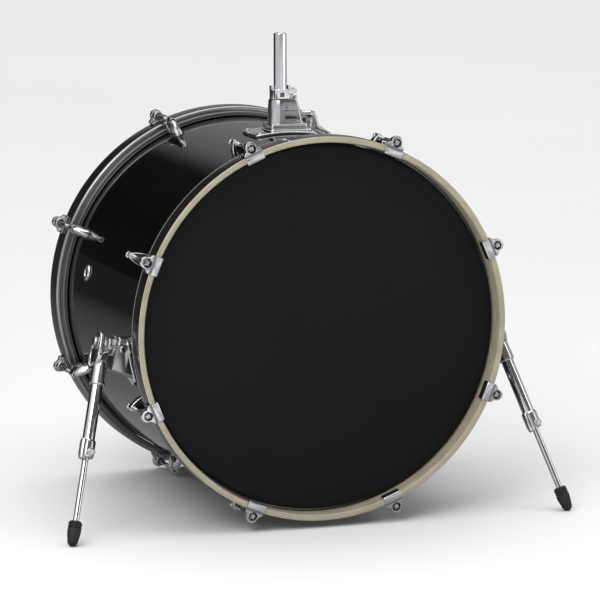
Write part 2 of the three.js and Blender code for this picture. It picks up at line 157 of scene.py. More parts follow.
def lathe(profile, segments=96, ring=False, crease=32):
    """A profile of (radius, y) points turned about Y: a ring if it closes on itself, or a disc."""
    count = len(profile)
    vertices = []
    faces = []
    for k in range(segments):
        turn = TAU * k / segments
        vertices += [(r * cos(turn), y, r * sin(turn)) for r, y in profile]
        here, there = k * count, (k + 1) % segments * count
        for i in range(count if ring else count - 1):
            j = (i + 1) % count
            faces.append((here + i, here + j, there + j, there + i))
    return mesh_piece(vertices, faces, crease)


def turned(start, direction, profile, segments=40, ring=False, crease=32):
    """A lathed piece whose (radius, distance) profile runs from a point along a direction."""
    piece = lathe(profile, segments, ring, crease)
    turn = Y.rotation_difference(direction.normalized()).to_matrix().to_4x4()
    piece.data.transform(Matrix.Translation(start) @ turn)
    return piece


def spun(start, direction, profile, corner, steps, segments):
    """A solid turned piece whose profile's corners are rounded, each in some steps."""
    return turned(start, direction, rounded(profile, corner, steps, False), segments)


def bar(start, end, radius, end_radius=None, edge=0.5, segments=40):
    """A round bar with rounded rims from one point to another."""
    length = (end - start).length
    end_radius = radius if end_radius is None else end_radius
    profile = [(0, 0), (radius, 0), (end_radius, length), (0, length)]
    return spun(start, end - start, profile, edge, 3, segments)


def prism(outline, low, high, edge=0.6, steps=3):
    """The outline of (u, v) points filled from w = low to w = high, with its rims rounded."""
    points = [Vector(point[:2]) for point in outline]
    count = len(points)
    area = sum(points[i - 1].cross(points[i]) for i in range(count))
    if area < 0:
        points.reverse()
    slants = []
    for i in range(count):
        before = (points[i] - points[i - 1]).normalized()
        after = (points[(i + 1) % count] - points[i]).normalized()
        inward = Vector((-before.y - after.y, before.x + after.x))
        slants.append(inward / max(0.4, 1 + before.dot(after)))
    rims = []
    for k in range(steps + 1):
        angle = pi / 2 * k / steps
        rims.append((edge * (1 - sin(angle)), edge * (1 - cos(angle))))
    levels = [(inset, low + rise) for inset, rise in rims]
    levels += [(inset, high - rise) for inset, rise in reversed(rims)]
    return loft([
        [(*(point + slant * inset), w) for point, slant in zip(points, slants)]
        for inset, w in levels
    ])


# Where a prism's (u, v, w) goes: the outline in XZ and filled along Y, or rolled round the shell.
ALONG_Y = Matrix(((1, 0, 0, 0), (0, 0, 1, 0), (0, 1, 0, 0), (0, 0, 0, 1)))


def wrap(piece, middle, step=2.5):
    """Bends a flat piece round the shell: u is the way round from the middle angle, v is along Y
    and w is the height over the shell."""
    work = bmesh.new()
    work.from_mesh(piece.data)
    low = min(vertex.co.x for vertex in work.verts)
    high = max(vertex.co.x for vertex in work.verts)
    cuts = int((high - low) / step)
    for k in range(1, cuts):
        geometry = work.verts[:] + work.edges[:] + work.faces[:]
        place = Vector((low + (high - low) * k / cuts, 0, 0))
        bmesh.ops.bisect_plane(work, geom=geometry, dist=1e-5, plane_co=place, plane_no=X)
    for vertex in work.verts:
        u, v, w = vertex.co
        angle = middle - u / SHELL_R
        radius = SHELL_R + w
        vertex.co = Vector((radius * cos(angle), v, radius * sin(angle)))
    work.to_mesh(piece.data)
    work.free()
    return refresh(piece)


def loft(rings, crease=32):
    """A skin through rings of points, with the first and last ring filled."""
    count = len(rings[0])
    vertices = [point for ring in rings for point in ring]
    faces = [tuple(range(count)), tuple(range(len(vertices) - count, len(vertices)))]
    for level in range(len(rings) - 1):
        for i in range(count):
            j = (i + 1) % count
            here, there = level * count, (level + 1) * count
            faces.append((here + i, here + j, there + j, there + i))
    return mesh_piece(vertices, faces, crease)


def combined(base, tools, operation, crease=32):
    """The base with each tool joined to it or cut from it; the tools are used up."""
    for tool in tools:
        modifier = base.modifiers.new("step", "BOOLEAN")
        modifier.operation = operation
        modifier.solver = "EXACT"
        modifier.object = tool
        graph = bpy.context.evaluated_depsgraph_get()
        mesh = bpy.data.meshes.new_from_object(base.evaluated_get(graph))
        base.modifiers.clear()
        base.data = mesh
        bpy.data.objects.remove(tool)
    return refresh(base, crease)


def union(base, *tools):
    return combined(base, tools, "UNION")


def cut(base, *tools, crease=32):
    return combined(base, tools, "DIFFERENCE", crease)


def true_round(piece):
    """Gives the walls about Y their exact normals, so that gloss runs on past the holes."""
    mesh = piece.data
    normals = [None] * len(mesh.loops)
    for polygon in mesh.polygons:
        centre = polygon.center
        radial = Vector((centre.x, 0, centre.z)).normalized()
        facing = radial.dot(polygon.normal)
        for loop in polygon.loop_indices:
            place = mesh.vertices[mesh.loops[loop].vertex_index].co
            if abs(facing) > 0.99:
                normal = Vector((place.x, 0, place.z)).normalized() * copysign(1, facing)
            else:
                normal = polygon.normal
            normals[loop] = tuple(normal)
    mesh.normals_split_custom_set(normals)
    return piece


# ---- material nodes
def add_node(tree, kind, sockets, **settings):
    """A node with its settings made and its sockets linked or given a value."""
    node = tree.nodes.new(kind)
    for key, value in settings.items():
        setattr(node, key, value)
    for key, value in sockets.items():
        if isinstance(value, bpy.types.NodeSocket):
            tree.links.new(value, node.inputs[key])
        else:
            node.inputs[key].default_value = value
    return node


class Paint:
    """A material under construction: its nodes are added and linked from here."""

    def __init__(self, name, **settings):
        self.material = bpy.data.materials.new(name)
        self.material.use_nodes = True
        self.tree = self.material.node_tree
        self.shader = self.tree.nodes["Principled BSDF"]
        for key, value in settings.items():
            self.shader.inputs[key.replace("_", " ")].default_value = value
        self.where = self.node("ShaderNodeTexCoord", {}).outputs["Object"]

    def node(self, kind, sockets, **settings):
        return add_node(self.tree, kind, sockets, **settings)

    def noise(self, scale, detail=3.0, where=None, roughness=0.55):
        sockets = {
            "Vector": where or self.where,
            "Scale": scale,
            "Detail": detail,
            "Roughness": roughness,
        }
        return self.node("ShaderNodeTexNoise", sockets).outputs["Fac"]

    def stretched(self, x, y, z, where=None):
        sockets = {0: where or self.where, 1: (x, y, z)}
        return self.node("ShaderNodeVectorMath", sockets, operation="MULTIPLY").outputs[0]

    def length(self, vector):
        return self.node("ShaderNodeVectorMath", {0: vector}, operation="LENGTH").outputs[1]

    def math(self, operation, first, second=0.0):
        return self.node("ShaderNodeMath", {0: first, 1: second}, operation=operation).outputs[0]

    def times(self, first, second):
        return self.math("MULTIPLY", first, second)

    def ramp(self, value, from_low, from_high, to_low, to_high):
        sockets = {
            "Value": value,
            "From Min": from_low,
            "From Max": from_high,
            "To Min": to_low,
            "To Max": to_high,
        }
        return self.node("ShaderNodeMapRange", sockets).outputs["Result"]

    def mix(self, factor, first, second):
        sockets = {0: factor, 6: first, 7: second}
        return self.node("ShaderNodeMix", sockets, data_type="RGBA").outputs[2]

    def fade(self, value, low, high, first, second):
        """From the first colour to the second as the value goes from low to high."""
        return self.mix(self.ramp(value, low, high, 0.0, 1.0), first, second)

    def around(self, radial=1.0, turns=1.0, along=1.0):
        """Coordinates (radius, angle, y) about the drum's axis, each with its own scale."""
        parts = self.node("ShaderNodeSeparateXYZ", {0: self.where}).outputs
        squares = [self.math("POWER", parts[axis], 2.0) for axis in (0, 2)]
        radius = self.times(self.math("SQRT", self.math("ADD", *squares)), radial)
        angle = self.times(self.math("ARCTAN2", parts[2], parts[0]), turns)
        y = self.times(parts[1], along)
        return self.node("ShaderNodeCombineXYZ", {0: radius, 1: angle, 2: y}).outputs[0]

    def set(self, socket, value):
        self.tree.links.new(value, self.shader.inputs[socket])

    def bump(self, *layers):
        """Stacks (height, strength, depth in metres) layers into the surface normal."""
        normal = None
        for height, strength, depth in layers:
            sockets = {"Height": height, "Strength": strength, "Distance": depth}
            if normal:
                sockets["Normal"] = normal
            normal = self.node("ShaderNodeBump", sockets).outputs["Normal"]
        self.set("Normal", normal)


def lacquer(name, tone, haze):
    """Black gloss over wood: a faint orange peel, fine swirls and a little dust in the sheen."""
    paint = Paint(name, Specular_IOR_Level=0.4)
    cloud = paint.noise(5.0, 4)
    specks = paint.ramp(paint.noise(420.0, 2), 0.68, 0.76, 0.0, 1.0)
    lighter = tuple(c * 1.6 for c in tone[:3]) + (1,)
    tint = paint.fade(cloud, 0.3, 0.7, tone, lighter)
    dusty = paint.mix(paint.times(specks, 0.25), tint, (0.05, 0.05, 0.05, 1))
    paint.set("Base Color", dusty)
    swirl = paint.noise(60.0, 5, paint.stretched(1.0, 7.0, 1.0))
    gloss = paint.ramp(paint.math("ADD", cloud, swirl), 0.7, 1.3, haze, haze + 0.05)
    paint.set("Roughness", gloss)
    paint.bump((paint.noise(18.0, 2), 0.05, 0.0006), (paint.noise(700.0, 2), 0.03, 0.00006))
    return paint.material


def edge_wood(name, light, dark, ply_contrast):
    """Sealed end and face grain of a bent hoop: ply rings, pores along the bend and wear."""
    paint = Paint(name, Coat_Weight=0.35, Coat_Roughness=0.12, Specular_IOR_Level=0.5)
    plies = paint.node(
        "ShaderNodeTexWave",
        {"Vector": paint.around(1.0, 0.004, 0.0), "Scale": 118.0, "Distortion": 1.2, "Detail": 2.0},
        bands_direction="X",
    ).outputs["Fac"]
    grain = paint.noise(1.0, 6, paint.around(2600.0, 22.0, 2600.0), 0.6)
    patches = paint.noise(1.0, 3, paint.around(60.0, 9.0, 60.0))
    base = paint.fade(patches, 0.32, 0.68, light, dark)
    pore = tuple(c * 0.5 for c in dark[:3]) + (1,)
    base = paint.mix(paint.ramp(grain, 0.45, 0.75, 0.0, 0.55), base, pore)
    ply_line = paint.times(paint.math("POWER", plies, 3.0), ply_contrast)
    glue = tuple(c * 0.45 for c in dark[:3]) + (1,)
    base = paint.mix(ply_line, base, glue)
    paint.set("Base Color", base)
    paint.set("Roughness", paint.ramp(grain, 0.3, 0.7, 0.3, 0.46))
    paint.bump((plies, 0.12, 0.0002), (grain, 0.2, 0.0001))
    return paint.material


def metal(name, tone, smooth, worn, cast=0.0, brushed=False):
    """Plated or bare metal: its polish varies in smudges, with casting texture or brush lines."""
    paint = Paint(name, Metallic=1.0)
    smudge = paint.noise(38.0, 5, roughness=0.65)
    shade = tuple(c * 0.86 for c in tone[:3]) + (1,)
    paint.set("Base Color", paint.fade(smudge, 0.35, 0.7, tone, shade))
    if brushed:
        lines = paint.noise(1.0, 4, paint.around(5200.0, 6.0, 5200.0))
        paint.set("Roughness", paint.ramp(lines, 0.3, 0.7, smooth, worn))
        paint.bump((lines, 0.25, 0.00008))
        return paint.material
    fine = paint.noise(900.0, 3)
    wear = paint.math("ADD", smudge, paint.times(fine, 0.4))
    paint.set("Roughness", paint.ramp(wear, 0.5, 0.9, smooth, worn))
    layers = [(paint.noise(90.0, 2), 0.02, 0.0002)]
    if cast:
        layers.append((paint.noise(1500.0, 4), cast, 0.00012))
    paint.bump(*layers)
    return paint.material


def film(name, worn):
    """Matte black drum film: a fine frosted tooth, faint handling marks and beater wear."""
    paint = Paint(name, Specular_IOR_Level=0.14)
    cloud = paint.noise(3.5, 5, roughness=0.6)
    tooth = paint.noise(2600.0, 2)
    tone = paint.fade(cloud, 0.3, 0.7, (0.0050, 0.0053, 0.0057, 1), (0.0068, 0.0071, 0.0076, 1))
    tone = paint.mix(paint.ramp(tooth, 0.55, 0.8, 0.0, 0.35), tone, (0.011, 0.0115, 0.012, 1))
    frost = paint.math("ADD", cloud, paint.times(tooth, 0.5))
    roughness = paint.ramp(frost, 0.5, 1.0, 0.5, 0.64)
    if worn:
        marks = None
        for x, z in ((-0.055, 0.012), (0.055, 0.016)):
            sockets = {0: paint.where, 1: (x, 0.217, z)}
            offset = paint.node("ShaderNodeVectorMath", sockets, operation="SUBTRACT").outputs[0]
            ragged = paint.ramp(paint.noise(90.0, 5), 0.3, 0.7, -0.012, 0.012)
            distance = paint.math("ADD", paint.length(offset), ragged)
            mark = paint.ramp(distance, 0.012, 0.034, 1.0, 0.0)
            marks = mark if marks is None else paint.math("MAXIMUM", marks, mark)
        broken = paint.ramp(paint.noise(700.0, 4), 0.35, 0.65, 0.3, 1.0)
        scuff = paint.times(marks, broken)
        tone = paint.mix(paint.times(scuff, 0.6), tone, (0.085, 0.083, 0.08, 1))
        roughness = paint.math("ADD", roughness, paint.times(marks, 0.12))
    paint.set("Base Color", tone)
    paint.set("Roughness", roughness)
    paint.bump((tooth, 0.18, 0.00005), (paint.noise(6.0, 2), 0.03, 0.001))
    return paint.material


def rubber(name):
    """Black moulded rubber, greyed a little by dust."""
    paint = Paint(name, Specular_IOR_Level=0.35)
    cloud = paint.noise(45.0, 5, roughness=0.65)
    tone = paint.fade(cloud, 0.35, 0.7, (0.010, 0.010, 0.011, 1), (0.028, 0.027, 0.027, 1))
    paint.set("Base Color", tone)
    paint.set("Roughness", paint.ramp(cloud, 0.3, 0.7, 0.5, 0.78))
    paint.bump((paint.noise(1400.0, 3), 0.25, 0.00008))
    return paint.material


BLACK = lacquer("black_gloss_lacquer", (0.0016, 0.0017, 0.0019, 1), 0.025)
HOOP_BLACK = lacquer("black_hoop_lacquer", (0.0090, 0.0088, 0.0084, 1), 0.11)
MAPLE = edge_wood("pale_hoop_wood", (0.52, 0.475, 0.355, 1), (0.40, 0.35, 0.245, 1), 0.68)
INSIDE_WOOD = edge_wood("bare_shell_wood", (0.42, 0.33, 0.20, 1), (0.30, 0.22, 0.125, 1), 0.5)
PEWTER = metal("grey_hoop_edge", (0.40, 0.395, 0.375, 1), 0.20, 0.27, brushed=True)
CHROME = metal("polished_chrome_plate", (0.80, 0.81, 0.83, 1), 0.035, 0.10)
CAST = metal("cast_chrome_plate", (0.66, 0.665, 0.68, 1), 0.15, 0.27, cast=0.12)
ALLOY = metal("brushed_hoop_alloy", (0.20, 0.205, 0.21, 1), 0.28, 0.42, brushed=True)
# A darker copy of the cast plate, used on the spur bracket's block and the holder's front panel.
DARKER_CAST = metal("dull_cast_plate", (0.34, 0.345, 0.355, 1), 0.14, 0.24, cast=0.08)
STEEL = metal("threaded_steel", (0.46, 0.465, 0.475, 1), 0.16, 0.30)
# Darker than the plate: the casting's own unpolished tone, with painted shade where it is put in
# recesses, creases and hollows.
UNPOLISHED_SHADE = metal("unpolished_casting", (0.27, 0.27, 0.278, 1), 0.28, 0.42, cast=0.3)
FRONT_FILM = film("black_film_front", False)
BATTER_FILM = film("black_film_batter", True)
RUBBER = rubber("black_rubber_compound")


# ---- finishing a piece
def coat(piece, *materials, choose=None):
    """Assigns the materials; choose(centre, normal) gives the slot number of each face."""
    piece.data.materials.clear()
    for material in materials:
        piece.data.materials.append(material)
    for polygon in piece.data.polygons:
        polygon.material_index = choose(polygon.center, polygon.normal) if choose else 0
    return piece


def scaled(piece):
    """From millimetres to metres, once for each mesh."""
    piece.data.transform(Matrix.Scale(MM, 4))
    return piece


def settle(piece, name, body, slot, *nodes, place=DRUM):
    """Stands a piece in the row frame, on its body, in the place of the CAD nodes that it shows."""
    piece.name = name
    piece.matrix_world = place
    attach(piece, body)
    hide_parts(*nodes)
    return piece


def finish(piece, name, material, body, slot, *nodes):
    return settle(scaled(coat(piece, material)), name, body, slot, *nodes)


def twin(piece):
    copy = bpy.data.objects.new("piece", piece.data)
    bpy.context.scene.collection.objects.link(copy)
    return copy


# ---- shell
def on_shell(angle, y, radius):
    return Vector((radius * cos(angle), y, radius * sin(angle)))


def shell_core(gap):
    """The room inside the shell and a gap round it, which curved feet are cut with."""
    return turned(Vector((0, -300, 0)), Y, rectangle(0, 0, SHELL_R + gap, 600), 256)


def shell_wall():
    """The wall with its bearing edges, the post's hole and the vent's hole."""
    profile = [
        (SHELL_INNER, 4 - SHELL_HALF), (SHELL_INNER + 4, -SHELL_HALF, 1),
        (SHELL_R, 3 - SHELL_HALF, 0.8), (SHELL_R, SHELL_HALF - 3, 0.8),
        (SHELL_INNER + 4, SHELL_HALF, 1), (SHELL_INNER, SHELL_HALF - 4),
    ]
    inside, outside = 255, 300
    wall = cut(
        lathe(rounded(profile, 0.5, 3), 256, ring=True),
        bar(Vector((0, POST_Y, inside)), Vector((0, POST_Y, outside)), POST_R + 2),
        bar(on_shell(VENT_ANGLE, VENT_Y, inside), on_shell(VENT_ANGLE, VENT_Y, outside), 8.5),
    )
    return true_round(wall)


def shell_face(centre, normal):
    """Lacquer on the outer wall, bare wood inside and on the bearing edges."""
    radius = hypot(centre.x, centre.z)
    return 0 if radius > SHELL_R - 0.5 and abs(centre.y) < SHELL_HALF - 2 else 1


def vent_grommet():
    profile = [
        (6, -10), (8.2, -10), (8.2, 1.0), (12.6, 0.4, 0.3), (12.6, 1.6, 0.8), (10.2, 3.8, 1.2),
        (7.0, 3.6, 1), (6, 2.2, 1),
    ]
    ring = lathe(rounded(profile, 0.3, 4), 64, ring=True)
    turn = Y.rotation_difference(on_shell(VENT_ANGLE, 0, 1)).to_matrix().to_4x4()
    ring.data.transform(Matrix.Translation(on_shell(VENT_ANGLE, VENT_Y, SHELL_R)) @ turn)
    return ring


shell = scaled(coat(shell_wall(), BLACK, INSIDE_WOOD, choose=shell_face))
settle(shell, "shell_wall", "drum", "black_lacquer", "shell")
finish(vent_grommet(), "vent_grommet_ring", CHROME, "drum", "polished_chrome", "vent_grommet")


# ---- heads and hoops
def head_film():
    """The film lies flat, rolls over the bearing edge and drops into its flesh hoop."""
    outside = [
        (0, -216.95), (120, -216.95), (240, -216.93), (268, -216.9), (273.5, -217.0),
        (276.2, -216.8), (278.0, -216.0), (279.4, -214.6), (280.2, -213.0), (280.6, -211.0),
        (280.7, -199.5),
    ]
    inside = [
        (280.2, -199.5), (280.1, -211.0), (279.0, -214.0), (277.0, -216.05), (273.5, -216.45),
        (0, -216.4),
    ]
    return lathe(outside + inside, 224, crease=60)


def flesh_hoop():
    """An aluminium channel: a square outer wall and a thin lip that reaches down the shell."""
    profile = [
        (281.2, -203.7, 0.5), (287.3, -203.7, 0.8), (287.3, -189.6, 1.6), (283.0, -189.6, 0.8),
        (282.2, -190.6, 0.3), (282.2, -186.8, 0.4), (281.2, -186.8, 0.4),
    ]
    return lathe(rounded(profile, 0.5, 4), 224, ring=True)


def wood_hoop():
    profile = [
        (HOOP_INNER, HOOP_FREE, 2.4), (HOOP_OUTER, HOOP_FREE, 2.8),
        (HOOP_OUTER, HOOP_SEAT - HOOP_HIGHLIGHT_STRIP, 0.3), (HOOP_OUTER, HOOP_SEAT, 4.7),
        (HOOP_INNER, HOOP_SEAT, 3.6),
    ]
    return lathe(rounded(profile, 1, 7), 256, ring=True)


def front_hoop_face(centre, normal):
    """Black round the outside up to a pale wood strip at the rear edge, painted there as a
    highlight; wood on the other faces.
    """
    radial = Vector((centre.x, 0, centre.z)).normalized().dot(normal)
    return 0 if radial > 0.9 and centre.y < HOOP_SEAT - HOOP_HIGHLIGHT_STRIP else 1


def batter_hoop_face(centre, normal):
    """Black round the outside and inside, bare metal across the edges."""
    return 0 if abs(normal.y) < 0.25 else 1


# The front end's pieces stand as they are made; the batter end's are turned round.
ENDS = {"front": DRUM, "batter": DRUM @ Matrix.Rotation(pi, 4, "Z")}
END_LOOKS = {
    "front": (FRONT_FILM, MAPLE, front_hoop_face, "natural_wood"),
    "batter": (BATTER_FILM, PEWTER, batter_hoop_face, "black_lacquer_hoop"),
}
for end, place in ENDS.items():
    film_look, hoop_edge, hoop_face, hoop_slot = END_LOOKS[end]
    head = scaled(coat(head_film(), film_look))
    settle(head, f"{end}_head_film", "drum", "black_film", f"{end}_head", place=place)
    channel = scaled(coat(flesh_hoop(), ALLOY))
    channel_name = f"{end}_flesh_hoop_channel"
    settle(channel, channel_name, "drum", "brushed_aluminium", f"{end}_flesh_hoop", place=place)
    hoop = scaled(coat(wood_hoop(), HOOP_BLACK, hoop_edge, choose=hoop_face))
    settle(hoop, f"{end}_hoop_ring", "drum", hoop_slot, f"{end}_hoop", place=place)


# ---- claws, rods and lugs
# The claw's ear leans back towards its outer end.
EAR_SLOPE = 0.15
EAR_LEAN = Matrix(((1, 0, 0, 0), (EAR_SLOPE, 1, 0, -EAR_SLOPE * 296), (0, 0, 1, 0), (0, 0, 0, 1)))
RECESS_R = 6.2
LUG_BASE = 280.6  # the lug's hollow starts here
LUG_ROOM = 26.4  # and is this high
THREADS = 24
THREAD_PITCH = 1.25


def on_rod(y):
    """A point on the tension rod's axis."""
    return Vector((ROD_R, y, 0))


def claw():
    """A cast hook over the hoop: front plate, crease, ear with the rod's recess, boss, saddle."""
    hook = [
        (281.0, -245.5, 2.6), (292.0, -245.5, 0.9), (292.6, -243.3, 0.3), (295.3, -243.3, 0.2),
        (295.6, -244.0, 0.3), (297.6, -244.0, 0.8), (297.6, -222.3, 1.1), (294.3, -222.3, 0.4),
        (294.3, -242.3, 0.4), (283.7, -242.3, 0.4), (283.7, -229.3, 0.6), (281.0, -229.3, 1.0),
    ]
    body = prism(rounded(hook, 0.5, 3), -14.4, 14.4, 0.5)
    ear_outline = [
        (295.4, -14.3, 0.6), (298.2, -13.9, 2.0), (301.4, -9.4, 4.0), (308.6, -8.0, 5.0),
        (313.0, -3.6, 4.0), (313.0, 3.6, 4.0), (308.6, 8.0, 5.0), (301.4, 9.4, 4.0),
        (298.2, 13.9, 2.0), (295.4, 14.3, 0.6),
    ]
    ear = moved(prism(rounded(ear_outline, 1, 6), -244.2, -235.5, 0.8), EAR_LEAN @ ALONG_Y)
    boss_profile = [
        (0, 0), (8.2, 0, 0.7), (8.7, 4, 1), (8.5, 11, 2), (7.4, 17.3, 1.2), (0, 17.3),
    ]
    boss = spun(on_rod(-242.2), Y, boss_profile, 0.5, 4, 48)
    rib = rounded([(296.5, -240), (304, -240), (304, -227, 3), (296.5, -222.6, 0.5)], 0.6)
    web = prism(rib, -5.2, 5.2, 1.0)
    recess_profile = [(0, 0), (7.2, 0), (7.2, 5.6), (RECESS_R, 7.4), (RECESS_R, 14.6), (0, 14.6)]
    recess = turned(on_rod(-249), Y, recess_profile, 48)
    bore = bar(on_rod(-240), on_rod(-215), 3.7)
    notches = [
        bar(Vector((293.8, -250, z)), Vector((293.8, -240, z)), 1.5, edge=0.1)
        for z in (-14.6, 14.6)
    ]
    return cut(union(body, ear, boss, web), recess, bore, *notches)


def claw_face(centre, normal):
    """The recess and the crease take the darker unpolished casting, which paints the shade in them.
    """
    away = hypot(centre.x - ROD_R, centre.z)
    in_recess = away < RECESS_R + 0.1 and centre.y > -243.0
    in_crease = 292.1 < centre.x < 295.7 and -245.1 < centre.y < -243.0
    return 1 if in_recess or in_crease else 0


def tension_rod():
    """A drum-key rod: square head, collar, plain shank, and a rolled thread near the lug."""
    square = prism(rounded(rectangle(-3.3, -3.3, 3.3, 3.3), 0.5), -243.6, -236.4, 0.5)
    key = moved(square, Matrix.Translation((ROD_R, 0, 0)) @ ALONG_Y)
    collar_profile = [
        (0, 0), (4.6, 0, 0.6), (5.7, 1.0, 0.5), (5.7, 2.9, 0.4), (3.1, 2.9), (3.1, 46), (0, 46),
    ]
    collar = spun(on_rod(-237.2), Y, collar_profile, 0.3, 3, 40)
    thread = [(0, 0), (2.75, 0)]
    for k in range(THREADS):
        thread += [(2.75, 0.5 + THREAD_PITCH * k), (3.15, 1.1 + THREAD_PITCH * k)]
    thread += [(3.1, 31.5), (0, 31.5)]
    return union(key, collar, turned(on_rod(-192.0), Y, thread, 28, crease=80))


def arch(height, width, y, base):
    """A pointed arch of points over the shell, closed by its flat base."""
    ring = []
    for k in range(29):
        angle = pi * k / 28
        narrowing = 1 - 0.24 * sin(angle) ** 2
        rise = base + height * sin(angle) ** 0.9
        ring.append(Vector((rise, y, width * narrowing * cos(angle))))
    return ring


def arches(height, width, base, stations):
    """A loft through arches; each station is (distance from the mouth, height and width shares)."""
    rings = [arch(height * h, width * w, LUG_MOUTH + d, base) for d, h, w in stations]
    return loft(rings, 50)


def lug_casting():
    """A bullet-shaped lug, hollow at its mouth and rounded off towards the drum's middle."""
    outside = (
        (0.0, 0.965, 0.93), (0.25, 0.988, 0.972), (0.9, 1.0, 1.0), (7, 0.99, 0.97),
        (13, 0.955, 0.90), (18, 0.895, 0.81), (22, 0.81, 0.72), (25, 0.70, 0.63),
        (27.4, 0.56, 0.54), (29, 0.40, 0.43), (29.8, 0.25, 0.30),
    )
    inside = ((-1.0, 1.0, 1.0), (0.6, 0.985, 0.97), (12, 0.95, 0.86), (18.5, 0.86, 0.70))
    outer = arches(29.7, 10.0, SHELL_R - 0.4, outside)
    return cut(outer, arches(LUG_ROOM, 8.2, LUG_BASE, inside), crease=50)


def lug_face(centre, normal):
    """The hollow behind its rim takes the darker unpolished casting, which paints the shade in it.
    """
    height = (centre.x - LUG_BASE + 0.3) / LUG_ROOM
    inside = abs(centre.z) < 8.25 * sqrt(max(0.0, 1 - height * height)) + 0.25
    behind_rim = LUG_MOUTH + 0.8 < centre.y < LUG_MOUTH + 19
    return 1 if inside and behind_rim and LUG_BASE - 0.3 < centre.x < 306.6 else 0


def swivel_nut():
    """The threaded barrel in the lug and the pin that holds it."""
    profile = [
        (3.2, 0), (4.7, 0, 0.6), (4.7, 13, 0.3), (4.1, 13.2), (4.1, 14.2), (5.3, 14.4),
        (5.3, 17.4), (3.2, 17.4),
    ]
    barrel = turned(on_rod(LUG_MOUTH + 2.2), Y, rounded(profile, 0.2, 3), 36, ring=True)
    pin_y = LUG_MOUTH + 14
    pin = bar(Vector((ROD_R - 21.5, pin_y, 0)), Vector((ROD_R - 3.8, pin_y, 0)), 2.1)
    return union(barrel, pin)


def lug_gasket():
    outline = [
        (-10.5, LUG_MOUTH - 0.5), (10.5, LUG_MOUTH - 0.5), (9.0, -142), (4.5, -137.4),
        (-4.5, -137.4), (-9.0, -142),
    ]
    return wrap(prism(rounded(outline, 2.5), -0.4, 0.75, 0.3), 0.0)


# Each piece of a station: its mesh, its name, its slot and the CAD node that it shows.
STATION = (
    (coat(claw(), CAST, UNPOLISHED_SHADE, choose=claw_face), "claw_casting", "satin_chrome", "claw"),
    (coat(lug_casting(), CHROME, UNPOLISHED_SHADE, choose=lug_face), "lug_casting", "polished_chrome", "lug"),
    (coat(tension_rod(), STEEL), "tension_rod", "polished_chrome", None),
    (coat(swivel_nut(), CHROME), "swivel_nut", "polished_chrome", None),
    (coat(lug_gasket(), RUBBER), "lug_gasket", "black_rubber", None),
)
for template, *_ in STATION:
    scaled(template)
for end, side in ENDS.items():
    for i in range(LUG_COUNT):
        station = side @ Matrix.Rotation(-(LUG_FIRST + i * TAU / LUG_COUNT), 4, "Y")
        for template, name, slot, node in STATION:
            nodes = [f"{end}_{node}_{i + 1}"] if node else []
            settle(twin(template), f"{end}_{name}_{i + 1}", "drum", slot, *nodes, place=station)
for template, *_ in STATION:
    bpy.data.objects.remove(template)


# ---- spurs
SPUR_TEETH = 24
BOLT_R = 4.7
FOOT_BALL_R = 8.0
PEAR_DROP = 13  # how far the head plate's middle is below the pivot


class Spur:
    """One spur's pivot, fold axis outwards, leg direction and pivot plane, in the drum's frame."""

    def __init__(self, name, side):
        into_drum = DRUM.inverted()
        turn = into_drum.to_3x3()
        fold = joints[f"spur_fold_{name}"]
        self.name = name
        self.side = side
        self.pivot = into_drum @ Vector(fold["pos_m"]) / MM
        self.out = (turn @ Vector(fold["axis"])).normalized() * side
        self.leg = (turn @ Vector(joints[f"spur_length_{name}"]["axis"])).normalized()
        down = (self.leg - self.leg.dot(Y) * Y).normalized()
        # The plane's u runs backwards, v up from the pivot and w outwards.
        axes = Matrix((Y, -down, self.out)).transposed().to_4x4()
        self.plane = Matrix.Translation(self.pivot) @ axes

    def on_leg(self, distance):
        return self.pivot + self.leg * distance

    def on_axis(self, distance):
        return self.pivot + self.out * distance

    def bore(self, start, end, radius=BOLT_R):
        """A bar on the fold axis."""
        return bar(self.on_axis(start), self.on_axis(end), radius)

    def leg_bore(self, start, end, radius, segments=64):
        """A sharp-edged bar on the leg's axis."""
        return bar(self.on_leg(start), self.on_leg(end), radius, edge=0.05, segments=segments)

    def finish(self, piece, name, material, body, slot, *nodes):
        """Settles a piece on the drum or on this spur's own body, as finish does."""
        body = body if body == "drum" else f"spur_{body}_{self.name}"
        nodes = [f"spur_{node}_{self.name}" for node in nodes]
        finish(piece, f"spur_{name}_{self.name}", material, body, slot, *nodes)

    def beside_leg(self, vector):
        """The part of a vector that is square to the leg."""
        return vector - self.leg * self.leg.dot(vector)

    def foot_tip(self):
        """How far along the leg the foot's end is, when its ball just rests on the floor."""
        leg = DRUM.to_3x3() @ self.leg
        pivot = DRUM @ (self.pivot * MM) / MM
        return (pivot.z - FOOT_BALL_R) / -leg.z + FOOT_BALL_R


